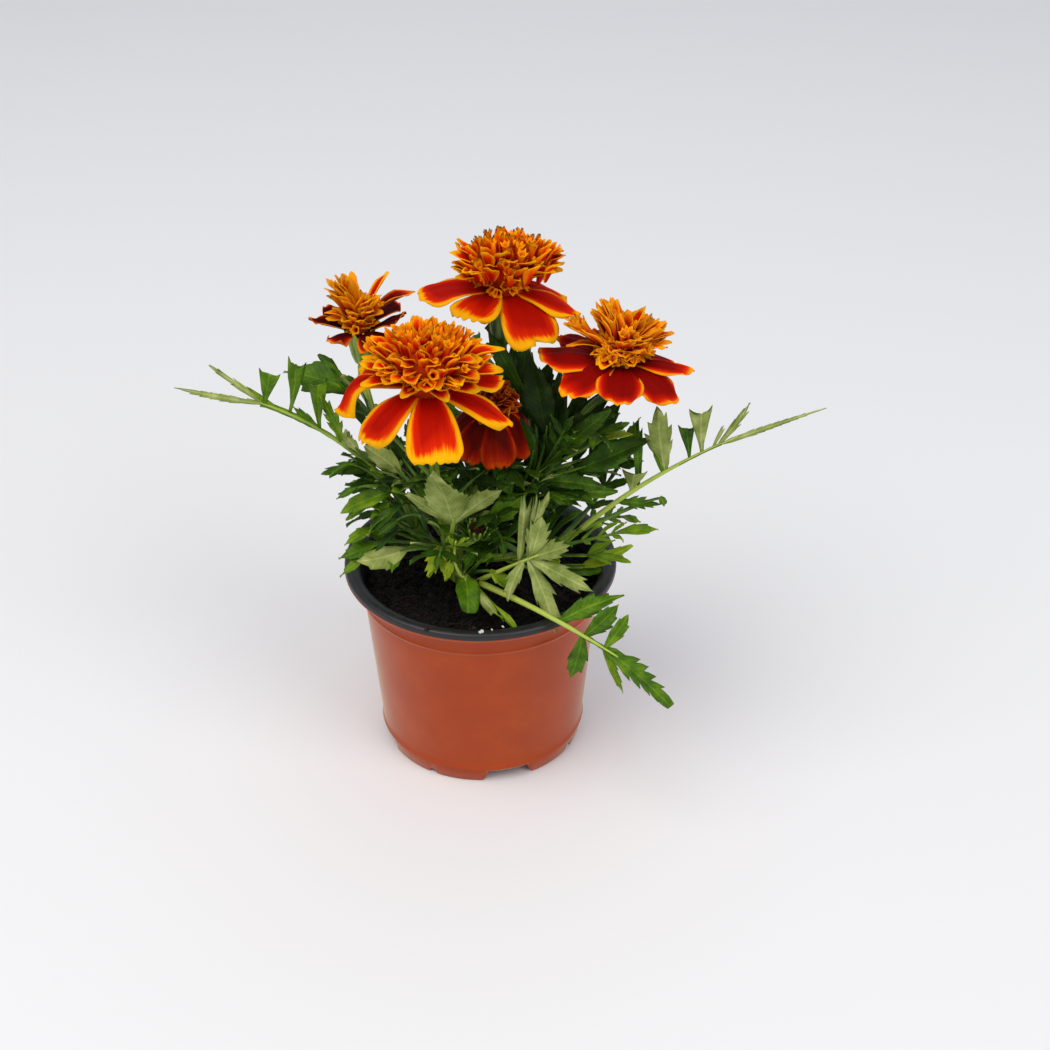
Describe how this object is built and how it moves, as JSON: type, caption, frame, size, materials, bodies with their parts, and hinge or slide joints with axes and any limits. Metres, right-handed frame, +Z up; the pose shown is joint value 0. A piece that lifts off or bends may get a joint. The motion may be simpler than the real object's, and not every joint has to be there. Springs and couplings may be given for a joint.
{
  "type": "potted french marigold",
  "caption": "Potted French marigold: a bushy plant with crested red and gold flower heads and feather-cut leaves, in a thin round terracotta-coloured nursery pot filled with peat.",
  "frame": {"origin": "centre of the pot's underside, on the surface that the pot stands on", "axes": "+Z up along the pot's axis; +X to the right of the plant's front, along its longest spread; the front faces -Y"},
  "size_m": [0.2432, 0.1354, 0.2105],
  "materials": {
    "pot_plastic": "thin vacuum-formed two-layer plastic, satin terracotta outside, black inside and on the rim",
    "peat": "moist crumbly dark peat compost",
    "stem_green": "fresh green ribbed stem, waxy",
    "bud_green": "fresh green bud with dark purple tips",
    "leaf_green": "fresh dark green leaf with a soft waxy sheen and pale veins",
    "leaf_underside": "pale matt underside of a leaf with raised veins",
    "petals_bright": "velvety red petals with golden margins",
    "petals_dark": "velvety maroon petals with golden crest"
  },
  "bodies": {
    "root": {"bud": "bud_green", "head_a": "petals_bright", "head_b": "petals_bright", "head_c": "petals_bright", "head_d": "petals_dark", "head_e": "petals_dark", "leaf_back_left_high": "leaf_green", "leaf_back_left_low": "leaf_green", "leaf_back_left_mid": "leaf_green", "leaf_back_middle": "leaf_green", "leaf_back_right_high": "leaf_green", "leaf_back_right_low": "leaf_green", "leaf_back_right_mid": "leaf_green", "leaf_back_top": "leaf_green", "leaf_c_left": "leaf_green", "leaf_c_low": "leaf_green", "leaf_c_right": "leaf_green", "leaf_c_up": "leaf_green", "leaf_centre_pale": "leaf_underside", "leaf_far_left": "leaf_green", "leaf_far_right": "leaf_green", "leaf_feathery": "leaf_green", "leaf_front_dark": "leaf_green", "leaf_left_dark_high": "leaf_green", "leaf_left_low": "leaf_green", "leaf_left_mid": "leaf_green", "leaf_mid_dark_left": "leaf_green", "leaf_over_rim": "leaf_green", "leaf_right_fine": "leaf_green", "leaf_right_mid": "leaf_green", "leaf_right_pale": "leaf_underside", "leaf_right_rim": "leaf_green", "leaf_right_up": "leaf_green", "leaf_round_front": "leaf_green", "leaf_small_front": "leaf_green", "leaf_upper_left": "leaf_green", "pot": "pot_plastic", "soil": "peat", "stem_a": "stem_green", "stem_c": "stem_green", "stem_d": "stem_green", "stem_e": "stem_green", "stem_front": "stem_green", "stem_main": "stem_green", "stem_right": "stem_green"}
  },
  "joints": []
}
